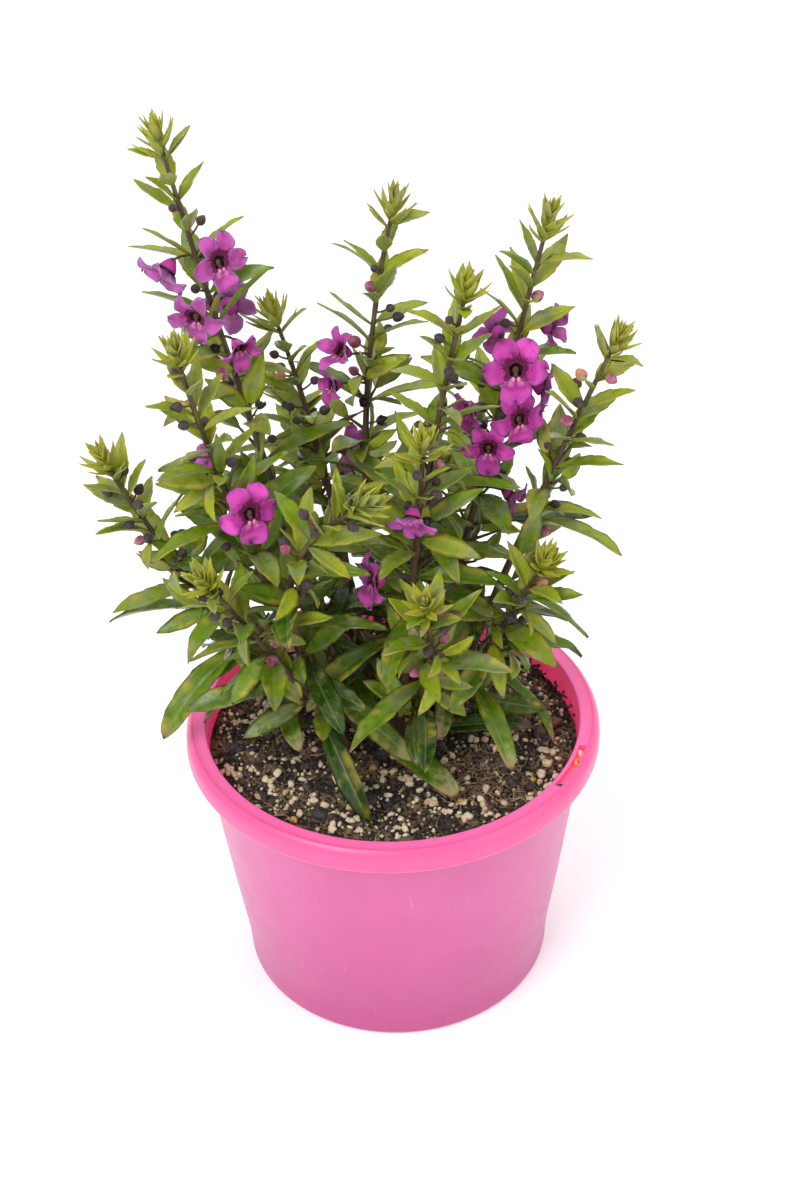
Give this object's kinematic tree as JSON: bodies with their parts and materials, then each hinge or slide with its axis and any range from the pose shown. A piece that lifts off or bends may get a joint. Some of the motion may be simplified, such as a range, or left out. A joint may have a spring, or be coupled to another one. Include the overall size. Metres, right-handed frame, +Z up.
{
  "type": "potted angelonia",
  "caption": "Flowering angelonia: slender leafy stems with purple two-lipped blooms in a squat round plastic pot of potting mix.",
  "frame": {"origin": "centre of the pot's flat underside, on the surface that the pot stands on", "axes": "+Z up along the pot's axis, +Y away from the picture's viewer, +X to the viewer's right"},
  "size_m": [0.1832, 0.1626, 0.3254],
  "materials": {
    "pot_plastic": "satin",
    "potting_mix": "matte",
    "foliage": "satin",
    "petals": "matte"
  },
  "bodies": {
    "root": {"pot": "pot_plastic", "soil": "potting_mix", "shoot_tall_left": "foliage", "shoot_tall_centre": "foliage", "shoot_tall_right": "foliage", "shoot_front_left": "foliage", "shoot_mid_right": "foliage", "shoot_far_right": "foliage", "shoot_far_left": "foliage", "shoot_back_left": "foliage", "shoot_front_centre": "foliage", "shoot_leaning": "foliage", "shoot_front_low": "foliage", "shoot_left_low": "foliage", "shoot_rear_left": "foliage", "shoot_rear_right": "foliage", "shoot_right_low": "foliage", "bloom_01": "petals", "bloom_02": "petals", "bloom_03": "petals", "bloom_04": "petals", "bloom_05": "petals", "bloom_06": "petals", "bloom_07": "petals", "bloom_08": "petals", "bloom_09": "petals", "bloom_10": "petals", "bloom_11": "petals", "bloom_12": "petals", "bloom_13": "petals", "bloom_14": "petals", "bloom_15": "petals", "bloom_16": "petals", "bloom_17": "petals", "bloom_18": "petals", "bloom_19": "petals", "bloom_20": "petals"}
  },
  "joints": []
}
